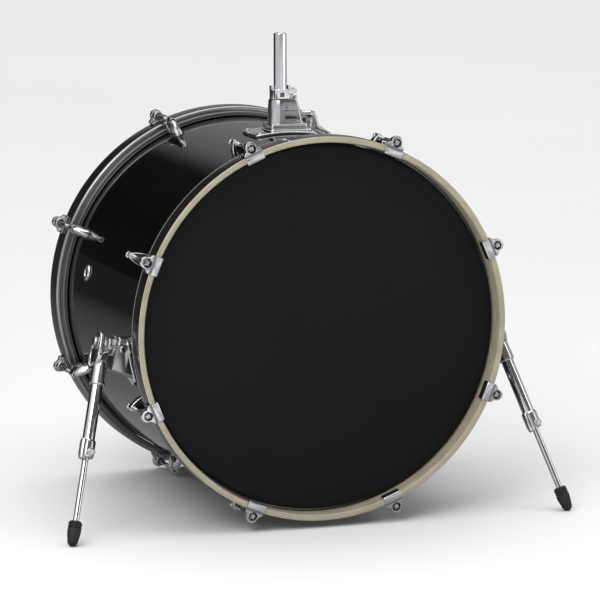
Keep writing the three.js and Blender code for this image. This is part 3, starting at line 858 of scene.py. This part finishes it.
def spur_bracket(spur):
    """A curved base with a foot tab, a block that stands on it and a toothed pivot housing."""
    middle = radians(-10.6) if spur.side > 0 else radians(190.6)
    reach = radians(6.8) * SHELL_R
    # A wrapped outline's u runs upwards on +X and downwards on -X, so the tab's end changes sign.
    outline = [
        (-spur.side * u, v, corner)
        for u, v, corner in (
            (reach, -147, 5), (reach, -109, 5), (5 - reach, -107, 4), (2 - reach, -119, 3),
            (-reach - 3, -122, 3), (-reach - 3, -134, 3), (2 - reach, -137, 3),
            (5 - reach, -149, 4),
        )
    ]
    base = wrap(prism(rounded(outline, 3, 5), 0.4, 4.0, 1.1), middle)
    neck_profile = [
        (0, 0), (21, 0, 1), (17.6, 9, 6), (16.2, 18.5, 0.8), (15.0, 20.5, 0.5), (15.0, 27, 1.0),
        (0, 27),
    ]
    neck = spun(spur.on_axis(-40), spur.out, neck_profile, 0.5, 5, 64)
    teeth = []
    for k in range(SPUR_TEETH):
        turn = TAU * (k + 0.4) / SPUR_TEETH
        spoke = spur.plane.to_3x3() @ Vector((cos(turn), sin(turn), 0)) * 14.4
        ends = spur.on_axis(-20.5) + spoke, spur.on_axis(-13.4) + spoke
        teeth.append(bar(*ends, 1.5, edge=0.3, segments=12))
    rings = []
    for w, half, bottom, top, corner in (
        (-68, 18.6, -41, 12.4, 7), (-40, 17.8, -39.6, 11.8, 7), (-21.5, 17.0, -38.2, 11.0, 6.5),
        (-19.2, 16.4, -37.6, 10.4, 6), (-17.7, 15.0, -36.2, 9.0, 5), (-17.0, 13.0, -34.2, 7.0, 4),
    ):
        ring = rounded(rectangle(-half, bottom, half, top), corner, 6)
        rings.append([spur.plane @ Vector((u, v, w)) for u, v in ring])
    housing = union(neck, loft(rings, 40), *teeth)
    housing = cut(housing, shell_core(0.6), spur.bore(-60, 0))
    stop_profile = [(0, 0), (3.4, 0), (3.4, 9, 0.4), (5.2, 9, 0.4), (5.2, 14, 0.9), (0, 14)]
    stop = spun(spur.on_axis(-25) - Y * 12, -Y, stop_profile, 0.4, 3, 36)
    wider = [(u * 1.04, v - 0.9 if v < -128 else v + 0.9, corner) for u, v, corner in outline]
    gasket = wrap(prism(rounded(wider, 3, 5), -0.4, 0.9, 0.3), middle)
    to_plane = spur.plane.inverted()

    def housing_face(centre, normal):
        """The block takes a darker copy of the cast plate than the pivot housing."""
        u, v, w = to_plane @ centre
        return 1 if hypot(u, v) > 15.6 or w < -22 else 0

    spur.finish(base, "bracket_base", CHROME, "drum", "polished_chrome")
    housing = scaled(coat(housing, CAST, DARKER_CAST, choose=housing_face))
    node = f"spur_bracket_{spur.name}"
    settle(housing, f"spur_housing_{spur.name}", "drum", "satin_chrome", node)
    spur.finish(stop, "stop_screw", CHROME, "drum", "polished_chrome")
    spur.finish(gasket, "gasket", RUBBER, "drum", "black_rubber")


def spur_head(spur):
    """An oval plate with a sunk face, the pivot barrel behind it and the tube's collar."""
    pear = []
    for k in range(64):
        angle = TAU * k / 64
        width, height = (24.0, 31.0) if sin(angle) < 0 else (20.5, 29.5)
        pear.append((width * cos(angle) - 1, height * sin(angle) - PEAR_DROP))
    plate = moved(prism(pear, 3.4, 11.5, 2.2, 5), spur.plane)
    rings = []
    for w, share in (
        (-7.8, 0.44), (-7.0, 0.49), (-2.0, 0.62), (2.0, 0.80), (4.6, 0.95), (6.0, 0.95),
    ):
        drop = PEAR_DROP * share ** 0.5
        ring = [(u * share, (v + PEAR_DROP) * share - drop, w) for u, v in pear]
        rings.append([spur.plane @ Vector(point) for point in ring])
    dish = loft(rings, 50)
    sunk = [(u * 0.80 - 0.2, (v + PEAR_DROP) * 0.82 - PEAR_DROP) for u, v in pear]
    sunk_tool = moved(prism(sunk, 9.6, 14, 0.1), spur.plane)
    boss_profile = [(0, 0), (11, 0), (10.2, 7.2, 0.8), (0, 7.2)]
    boss = moved(spun(Vector((0, 0, 4)), Z, boss_profile, 0.4, 4, 48), spur.plane)
    barrel_profile = [
        (0, 0), (11, 0, 0.8), (11, 5.6, 0.6), (9.6, 6.6, 0.6), (9.6, 10.4, 0.8), (11.5, 13.2, 0.6),
        (0, 14),
    ]
    barrel = spun(spur.on_axis(-12.6), spur.out, barrel_profile, 0.4, 4, 56)
    collar_profile = [
        (0, 0), (10.0, 0, 2), (11.6, 10, 3), (12.2, 34, 1), (12.2, 37.2, 0.9), (11.5, 38.5, 0.6),
        (0, 38.5),
    ]
    collar = spun(spur.on_leg(28), spur.leg, collar_profile, 0.5, 5, 64)
    head = union(cut(plate, sunk_tool), dish, boss, barrel, collar)
    head = cut(head, spur.bore(-20, 30), spur.leg_bore(52, 80, 9.9))
    spur.finish(head, "leg_head", CAST, "leg", "satin_chrome", "head")


def spur_tube(spur):
    """The outer tube and its clamp: a ring round it, a lobe on its -X side and a key screw."""
    tube_profile = rounded(rectangle(8, 0, 9.5, 114), 0.5, 4)
    tube = turned(spur.on_leg(54), spur.leg, tube_profile, 72, ring=True)
    spur.finish(tube, "leg_tube", CHROME, "leg", "polished_chrome", "tube")
    sideways = spur.beside_leg(Vector((-8.3, 0, 0)))
    forwards = spur.beside_leg(Vector((0, -7, 0)))

    def in_lobe(distance):
        return spur.on_leg(distance) + sideways + forwards

    ring_profile = [
        (0, 0), (11.0, 0, 0.9), (11.9, 3, 1.0), (11.9, 24, 1.0), (10.6, 27.4, 1.2), (0, 27.4),
    ]
    ring = spun(spur.on_leg(153), spur.leg, ring_profile, 0.5, 5, 64)
    lobe = bar(in_lobe(153), in_lobe(184.6), 5.6, edge=1.8)
    seat = spur.on_leg(171) + X * 4
    aim = Vector((0, -17, 3)).normalized()
    clamp = cut(
        union(ring, lobe, bar(seat, seat + aim * 13.5, 6.0, edge=0.8)),
        spur.leg_bore(150, 168.3, 9.8),
        spur.leg_bore(160, 190, 5.0, 48),
        bar(seat + aim * 11.5, seat + aim * 20, 4.6, edge=0.05),
        bar(in_lobe(183.2), in_lobe(190), 2.6, edge=0.05),
    )
    spur.finish(clamp, "clamp_casting", CAST, "leg", "satin_chrome", "clamp")
    key = union(
        spun(Vector((0, 0, 0)), Z, [(0, 0), (4.4, 0), (4.4, 5.0, 0.7), (0, 5.0)], 0.4, 4, 40),
        prism(rounded(rectangle(-2.7, -2.7, 2.7, 2.7), 0.5), 4.0, 8.6, 0.5),
    )
    stand = Matrix.Translation(seat + aim * 9) @ Z.rotation_difference(aim).to_matrix().to_4x4()
    spur.finish(moved(key, stand), "clamp_screw", CHROME, "leg", "polished_chrome")


def spur_extension(spur):
    """The inner rod with two depth grooves, and its ribbed rubber foot."""
    rod_profile = [(0, 118), (4.3, 118), (4.7, 118.4)]
    for groove in (268.0, 272.0):
        rod_profile += [(4.7, groove), (4.35, groove + 0.3)]
        rod_profile += [(4.35, groove + 0.9), (4.7, groove + 1.2)]
    rod_profile += [(4.7, 297.5), (4.4, 297.9), (0, 297.9)]
    rod = turned(spur.pivot, spur.leg, rod_profile, 56)
    spur.finish(rod, "inner_rod", CHROME, "extension", "polished_chrome", "rod")
    profile = [(0, 298.2), (5.0, 298.2), (5.0, 279.8), (8.2, 279.8, 0.6), (9.0, 281.2, 0.6)]
    for rib in (282.4, 285.6, 288.8):
        profile += [(10.4, rib, 0.5), (10.5, rib + 1.5, 0.5)]
        profile += [(9.4, rib + 2.0, 0.3), (9.4, rib + 2.8, 0.3)]
    profile += [(10.5, 292.4, 0.8), (10.3, 297.0, 2), (9.2, 304.0, 3)]
    profile = rounded(profile, 0.5, 3, False)
    tip = spur.foot_tip()
    for degrees in (10, 25, 40, 55, 70, 82):
        angle = radians(degrees)
        rise = tip - FOOT_BALL_R + FOOT_BALL_R * sin(angle)
        profile.append((FOOT_BALL_R * cos(angle), rise))
    foot = turned(spur.pivot, spur.leg, profile + [(0, tip)], 56, crease=50)
    spur.finish(foot, "rubber_foot", RUBBER, "extension", "black_rubber", "foot")


def spur_bolt(spur):
    """The pivot bolt: a domed head with a hexagon socket."""
    shank = spur.bore(-30, 13, 4.2)
    dome_profile = [(0, 0), (7.5, 0), (7.5, 2.4, 1.0), (6.2, 4.7, 1.6), (0, 5.0)]
    dome = spun(spur.on_axis(11.8), spur.out, dome_profile, 0.4, 5, 48)
    hexagon = [(3.1 * cos(TAU * k / 6), 3.1 * sin(TAU * k / 6)) for k in range(6)]
    bolt = cut(union(shank, dome), moved(prism(hexagon, 14.0, 19, 0.02), spur.plane))
    spur.finish(bolt, "bolt_head", STEEL, "bolt", "polished_chrome", "pivot_bolt")


for spur in (Spur("left", -1), Spur("right", 1)):
    spur_bracket(spur)
    spur_head(spur)
    spur_tube(spur)
    spur_extension(spur)
    spur_bolt(spur)


# ---- tom mount
PLATE = (-51, -74, 51, 2)  # left, front, right and back of the mount's base on the shell


def post_point(x, y, z):
    return Vector((x, POST_Y + y, z))


def post_bore(low, high, radius):
    return bar(post_point(0, 0, low), post_point(0, 0, high), radius, edge=0.05, segments=64)


def round_post(left, front, right, back, corner=0, steps=4):
    """A rectangle in plan, with its front and back measured from the post's middle."""
    return rounded(rectangle(left, POST_Y + front, right, POST_Y + back), corner, steps)


def facing(outline, front, back, edge, steps=3):
    """An outline of (x, z) points filled from front to back, measured from the post's middle."""
    return moved(prism(outline, POST_Y + front, POST_Y + back, edge, steps), ALONG_Y)


def mount_plate():
    """The curved base on the shell, its raised pad and the hole for the post."""
    plate = wrap(prism(rounded(rectangle(*PLATE), 9, 7), 0.7, 4.0, 1.2), pi / 2)
    pad = prism(round_post(-24, -26, 40, 24, 6, 6), SHELL_R - 1.5, HOLDER_BASE - 0.2, 0.8)
    hole = bar(post_point(0, 0, 262), post_point(0, 0, 300), POST_R + 1.5)
    return cut(union(plate, pad), shell_core(0.8), hole)


def mount_gasket():
    left, front, right, back = PLATE
    outline = rounded(rectangle(left - 1, front - 1, right + 1, back + 1), 10, 7)
    return wrap(prism(outline, -0.3, 1.0, 0.3), pi / 2)


def mount_holder():
    """The cast holder: a tapered column with a clamp jaw, a relief panel and a lipped flange."""
    flange = prism(round_post(-22, -24, 38, 22, 5, 5), HOLDER_BASE, HOLDER_BASE + 8, 1.2)
    rings = []
    for z, left, right, depth in (
        (HOLDER_BASE + 2, 20.5, 33.0, 20.5), (HOLDER_BASE + 8, 20.1, 31.6, 20.0),
        (316, 18.8, 26.4, 18.8), (HOLDER_TOP - 1.2, 17.8, 22.4, 17.8),
        (HOLDER_TOP - 0.3, 17.4, 22.0, 17.4), (HOLDER_TOP, 16.6, 21.2, 16.6),
    ):
        wide, narrow = left * 0.95, depth * 0.55 * 0.45
        outline = [
            (-left, -depth, wide), (right, -depth, narrow),
            (right, depth, narrow), (-left, depth, wide),
        ]
        rings.append([post_point(u, v, z) for u, v in rounded(outline, 3, 10)])
    column = loft(rings, 40)
    panel = rounded([(-3, 297.5), (26.5, 297.5), (22.5, 322), (-3, 322)], 2.2, 4)
    tray = rounded([(0.5, 300), (22.8, 300), (20.6, 310.6), (0.5, 310.6)], 2, 4)
    rib = rounded([(-1.5, 313.0), (21.5, 313.0), (21.2, 315.4), (-1.5, 315.4)], 1, 3)
    body = union(
        cut(column, facing(panel, -30, -18.4, 0.5)),
        facing(tray, -19.8, -16, 0.6),
        facing(rib, -19.4, -16, 0.5),
    )
    nut = bar(post_point(24, 0, WING_Z), post_point(32.6, 0, WING_Z), 8.5, 7.6, 1.0)
    return cut(
        union(body, flange, nut),
        bar(post_point(4.6, -30, 318.4), post_point(4.6, -14, 318.4), 1.5, edge=0.1, segments=24),
        post_bore(HOLDER_BASE - 5, HOLDER_TOP + 5, POST_R + 0.35),
        bar(post_point(11, 0, WING_Z), post_point(60, 0, WING_Z), 4.4, edge=0.05),
        prism(round_post(9, -0.9, 40, 0.9), HOLDER_BASE + 10, HOLDER_TOP + 2, 0.05),
    )


def memory_lock():
    """The stop collar on the post: a split band with two ears, two tabs and its screw's seat."""
    band_profile = [(0, 0), (16.5, 0, 1.0), (16.5, 15.7, 1.0), (0, 15.7)]
    band = spun(post_point(0, 0, LOCK_BOTTOM), Z, band_profile, 0.8, 4, 72)
    ear = prism(round_post(8, -7.6, 25, 7.6, 2.5, 5), LOCK_BOTTOM, LOCK_TOP, 1.0)
    tabs = [
        prism(round_post(x - 2.1, -5, x + 2.1, 5, 1.4, 4), LOCK_TOP - 4, LOCK_TOP + 4.8, 0.9)
        for x in (-14, 14)
    ]
    face = rounded(rectangle(-14.5, LOCK_BOTTOM + 0.6, 9.5, LOCK_TOP - 0.4), 1.6, 4)
    block = facing(face, -18.6, -11, 0.9)
    pocket = facing(rounded(rectangle(-6.6, 334.6, 0.6, 341.8), 1.2, 4), -22, -13.6, 0.1)
    groove_profile = rectangle(15.8, 0, 18, 1.4)
    groove = turned(post_point(0, 0, LOCK_BOTTOM + 7.2), Z, groove_profile, 72, ring=True)
    return cut(
        union(cut(band, groove), block, ear, *tabs),
        pocket,
        post_bore(LOCK_BOTTOM - 5, LOCK_TOP + 9, POST_R + 0.3),
        prism(round_post(5, -1, 30, 1), LOCK_BOTTOM - 4, LOCK_TOP + 9, 0.05),
        lock_bar(-20, 20, 3.4, 0.05),
    )


def lock_bar(front, back, radius, edge=0.5):
    """A bar on the lock bolt's axis."""
    ends = [post_point(LOCK_BOLT_X, y, LOCK_BOLT_Z) for y in (front, back)]
    return bar(*ends, radius, edge=edge)


def lock_bolt():
    """The lock's drum-key screw with its collar."""
    square = prism(rounded(rectangle(-2.9, -2.9, 2.9, 2.9), 0.5), POST_Y - 12.6, POST_Y - 8.0, 0.5)
    key = moved(square, Matrix.Translation((LOCK_BOLT_X, 0, LOCK_BOLT_Z)) @ ALONG_Y)
    return union(lock_bar(-9, 9, 3.0), key, lock_bar(-9.6, -7.8, 4.6))


def post_tube():
    """The post, hollow from below, with a softened rim and a plug in its top."""
    closed = POST_BOTTOM + 238
    profile = [
        (0, closed), (8, closed), (8, POST_BOTTOM), (9.5, POST_BOTTOM), (10, POST_BOTTOM + 0.6),
        (POST_R, POST_TOP - 1.1), (9.75, POST_TOP - 0.45), (9.0, POST_TOP), (6.6, POST_TOP),
        (6.2, POST_TOP - 0.7), (0, POST_TOP - 0.7),
    ]
    return turned(Vector((0, POST_Y, 0)), Z, profile, 96)


def wing_bolt():
    """A screw with a hub and two cast wings: one square to it and one that sweeps outwards."""
    shank = bar(post_point(13, 0, WING_Z), post_point(38, 0, WING_Z), 4.0)
    hub_profile = [
        (0, 0), (7.0, 0, 0.6), (7.0, 3.0, 0.8), (6.0, 4.2, 0.6), (6.4, 15, 2), (5.0, 18.6, 1.6),
        (0, 19),
    ]
    hub = spun(post_point(33.6, 0, WING_Z), X, hub_profile, 0.5, 4, 48)
    straight = [(42, 4, 1), (42, -19, 3), (45, -22.5, 3), (51, -22.5, 3), (51, 4, 1)]
    swept = [
        (48, 5, 2), (49, -5, 2), (54.5, -9, 3), (54, -22, 3), (60, -24.5, 4), (82, -32.6, 2.0),
        (83, -31, 1.5), (63, -17.5, 4), (60.5, -5, 3), (56, 5, 3),
    ]
    lift = Matrix.Translation((0, 0, WING_Z))
    wings = [
        moved(prism(rounded(outline, 2, steps), POST_Y - 2.4, POST_Y + 2.4, 1.6, 4), lift @ ALONG_Y)
        for outline, steps in ((straight, 4), (swept, 5))
    ]
    return union(shank, hub, *wings)


def holder_face(centre, normal):
    """The holder's front panel takes a darker copy of the cast plate above its flange."""
    return 1 if normal.y < -0.93 and centre.z > HOLDER_BASE + 7 else 0


def lock_face(centre, normal):
    """The lock's front pocket takes the darker unpolished casting, which paints the shade in it."""
    in_pocket = abs(centre.x + 3) < 3.8 and abs(centre.z - 338.2) < 3.8
    return 1 if in_pocket and POST_Y - 18.2 < centre.y < POST_Y - 12 else 0


finish(mount_plate(), "tom_mount_base", CHROME, "drum", "polished_chrome", "tom_mount_plate")
finish(mount_gasket(), "tom_mount_gasket", RUBBER, "drum", "black_rubber")
screw_profile = [(0, 0), (4.4, 0), (4.4, 1.4, 0.5), (3.2, 2.7, 1.0), (0, 3.1)]
for number, (u, v) in enumerate(((-43, -66), (43, -66), (-43, -6), (43, -6))):
    angle = pi / 2 - u / SHELL_R
    head = on_shell(angle, v, SHELL_R + 3.6)
    screw = spun(head, on_shell(angle, 0, 1), screw_profile, 0.4, 4, 32)
    finish(screw, f"tom_mount_screw_{number + 1}", STEEL, "drum", "polished_chrome")
column = scaled(coat(mount_holder(), CAST, DARKER_CAST, choose=holder_face))
settle(column, "tom_mount_column", "drum", "satin_chrome", "tom_mount_holder")
collar = scaled(coat(memory_lock(), CHROME, UNPOLISHED_SHADE, choose=lock_face))
settle(collar, "tom_lock_collar", "tom_post_assembly", "satin_chrome", "tom_memory_lock")
finish(lock_bolt(), "tom_lock_key_bolt", CHROME, "lock_bolt", "polished_chrome", "tom_lock_bolt")
finish(post_tube(), "tom_post_tube", CHROME, "tom_post_assembly", "polished_chrome", "tom_post")
finish(wing_bolt(), "tom_wing_screw", CAST, "wing_bolt", "polished_chrome", "tom_wing_bolt")


# ---- floor, light and camera
FLOOR_HALF = 400.0


def floor_sheet(name, height, tone_of):
    """A large level sheet, whose tone_of(paint) gives its colour socket."""
    outline = rectangle(-FLOOR_HALF, -FLOOR_HALF, FLOOR_HALF, FLOOR_HALF)
    sheet = mesh_piece([(x, y, height) for x, y in outline], [(0, 1, 2, 3)])
    sheet.name = name
    paint = Paint(name, Specular_IOR_Level=0.1)
    paint.set("Base Color", tone_of(paint))
    paint.set("Roughness", paint.ramp(paint.noise(60.0, 3), 0.3, 0.7, 0.7, 0.85))
    sheet.data.materials.append(paint.material)
    return sheet


def pale_tone(paint):
    return paint.fade(paint.noise(0.8, 3), 0.3, 0.7, (0.90, 0.90, 0.90, 1), (0.92, 0.92, 0.92, 1))


def card_tone(paint):
    """Painted reflections for the gloss, which alone sees the card: pale in front of the drum with
    a mid grey patch and a dark strip far ahead, mid grey beside it and dark further back; close
    round the drum a painted glow stands in for the light of a lit floor."""
    x, y, _ = paint.node("ShaderNodeSeparateXYZ", {0: paint.where}).outputs
    ahead = paint.times(y, -1.0)
    bearing = paint.math("ARCTAN2", x, ahead)
    patch = paint.times(
        paint.ramp(bearing, -0.02, 0.12, 0.0, 1.0), paint.ramp(ahead, 2.4, 3.0, 1.0, 0.0)
    )
    strip = paint.times(
        paint.ramp(bearing, -0.22, -0.14, 0.0, 1.0), paint.ramp(bearing, 0.12, 0.20, 1.0, 0.0)
    )
    strip = paint.times(strip, paint.ramp(ahead, 3.2, 4.0, 0.0, 1.0))
    front = paint.mix(patch, (0.80, 0.80, 0.80, 1), (0.34, 0.34, 0.345, 1))
    front = paint.mix(strip, front, (0.03, 0.03, 0.032, 1))
    middle = paint.fade(y, -0.9, -0.1, front, (0.22, 0.22, 0.225, 1))
    tone = paint.fade(y, 0.3, 2.4, middle, (0.025, 0.025, 0.027, 1))
    left = paint.times(
        paint.ramp(x, -2.0, -1.3, 1.0, 0.0), paint.ramp(y, 0.0, 1.0, 1.0, 0.0)
    )
    tone = paint.mix(left, tone, (0.80, 0.80, 0.80, 1))
    distance = paint.length(paint.stretched(1.0, 1.0, 0.0))
    glow = paint.mix(paint.ramp(distance, 0.3, 0.8, 1.0, 0.0), tone, (0.38, 0.38, 0.385, 1))
    paint.shader.inputs["Emission Strength"].default_value = 0.3
    paint.set("Emission Color", glow)
    return tone


# The pale floor is what shows. Gloss reflects a card just over it, graded darker to the back, as
# black lacquer is lit in a studio.
floor = floor_sheet("floor", 0.0, pale_tone)
floor.visible_glossy = False
card = floor_sheet("reflected_card", 0.002, card_tone)
card.visible_camera = False
card.visible_diffuse = False
card.visible_shadow = False


def light(name, size, place, target, power):
    """A soft box at a place in metres, aimed at a target, with its power in watts."""
    data = bpy.data.lights.new(name, "AREA")
    data.shape = "RECTANGLE"
    data.size, data.size_y = size
    data.energy = power
    lamp = bpy.data.objects.new(name, data)
    lamp.location = place
    lamp.rotation_euler = (Vector(target) - Vector(place)).to_track_quat("-Z", "Y").to_euler()
    bpy.context.scene.collection.objects.link(lamp)


light("key_softbox", (2.0, 2.0), (-2.2, -2.8, 3.0), (0, 0, 0.3), 60)
light("fill_softbox", (0.8, 2.2), (3.0, -1.8, 1.6), (0, 0, 0.3), 14)

world = bpy.data.worlds.new("studio")
bpy.context.scene.world = world
world.use_nodes = True
sky = world.node_tree
background = sky.nodes["Background"]
direction = add_node(sky, "ShaderNodeTexCoord", {}).outputs["Generated"]
split = add_node(sky, "ShaderNodeSeparateXYZ", {0: direction})


def sky_ramp(stops):
    """Grey levels by the height of the direction, from -1 straight down to 1 straight up."""
    height = add_node(sky, "ShaderNodeMapRange", {"Value": split.outputs[2], "From Min": -1.0})
    node = add_node(sky, "ShaderNodeValToRGB", {0: height.outputs[0]})
    elements = node.color_ramp.elements
    for number, (up, level) in enumerate(stops):
        element = elements[number] if number < 2 else elements.new(up * 0.5 + 0.5)
        element.position = up * 0.5 + 0.5
        element.color = (level, level, level * 1.01, 1)
    return node.outputs[0]


def sky_blend(axis, low, high, first, second):
    """From the first sky to the second as the direction's x, y or z goes from low to high."""
    sockets = {"Value": split.outputs[axis], "From Min": low, "From Max": high}
    fade = add_node(sky, "ShaderNodeMapRange", sockets, interpolation_type="SMOOTHSTEP")
    sockets = {0: fade.outputs[0], 6: first, 7: second}
    return add_node(sky, "ShaderNodeMix", sockets, data_type="RGBA").outputs[2]


# A white ceiling over a dim room with a pale wall on each side of the camera and one back right.
front_sky = sky_ramp(
    [(-0.3, 0.5), (0.0, 0.75), (0.22, 0.75), (0.34, 0.12), (0.74, 0.12), (0.88, 1.9)]
)
side_sky = sky_ramp([(-0.3, 0.5), (0.0, 0.62), (0.3, 0.62), (0.5, 0.6), (0.66, 1.1), (0.9, 1.9)])
right_sky = sky_ramp([(-0.3, 0.1), (0.0, 0.3), (0.25, 0.36), (0.4, 0.12), (0.62, 0.95), (0.9, 1.7)])
left_sky = sky_ramp([(-0.3, 0.02), (0.0, 0.02), (0.2, 0.012), (0.5, 0.03), (0.7, 0.95), (0.9, 1.7)])
near_sky = sky_blend(0, -0.62, -0.32, side_sky, sky_blend(0, 0.82, 0.95, front_sky, side_sky))
far_sky = sky_blend(0, -0.02, 0.12, left_sky, right_sky)
sky.links.new(sky_blend(1, 0.1, 0.6, near_sky, far_sky), background.inputs[0])
background.inputs[1].default_value = 1.0

# The camera stands in front and a little to the left of the drum, above its middle.
AZIMUTH = radians(-18.75)
ELEVATION = radians(8.9)
ROLL = radians(-0.14)
DISTANCE = 6653.8
SENSOR_WIDTH = 36.0
FOCAL_LENGTHS = 7.0896  # focal length over sensor width
SHIFT = (0.0447, 0.0110)
camera_data = bpy.data.cameras.new("camera")
camera = bpy.data.objects.new("camera", camera_data)
bpy.context.scene.collection.objects.link(camera)
toward = Vector((
    sin(AZIMUTH) * cos(ELEVATION),
    -cos(AZIMUTH) * cos(ELEVATION),
    sin(ELEVATION),
))
right = Vector((cos(AZIMUTH), sin(AZIMUTH), 0))
upward = toward.cross(right)
basis = Matrix((right, upward, toward)).transposed() @ Matrix.Rotation(ROLL, 3, "Z")
camera.matrix_world = DRUM @ Matrix.Translation(toward * DISTANCE * MM) @ basis.to_4x4()
camera_data.sensor_width = SENSOR_WIDTH
camera_data.lens = FOCAL_LENGTHS * SENSOR_WIDTH
camera_data.shift_x, camera_data.shift_y = SHIFT
camera_data.clip_end = 300.0
bpy.context.scene.camera = camera
bpy.context.scene.view_settings.view_transform = "Standard"
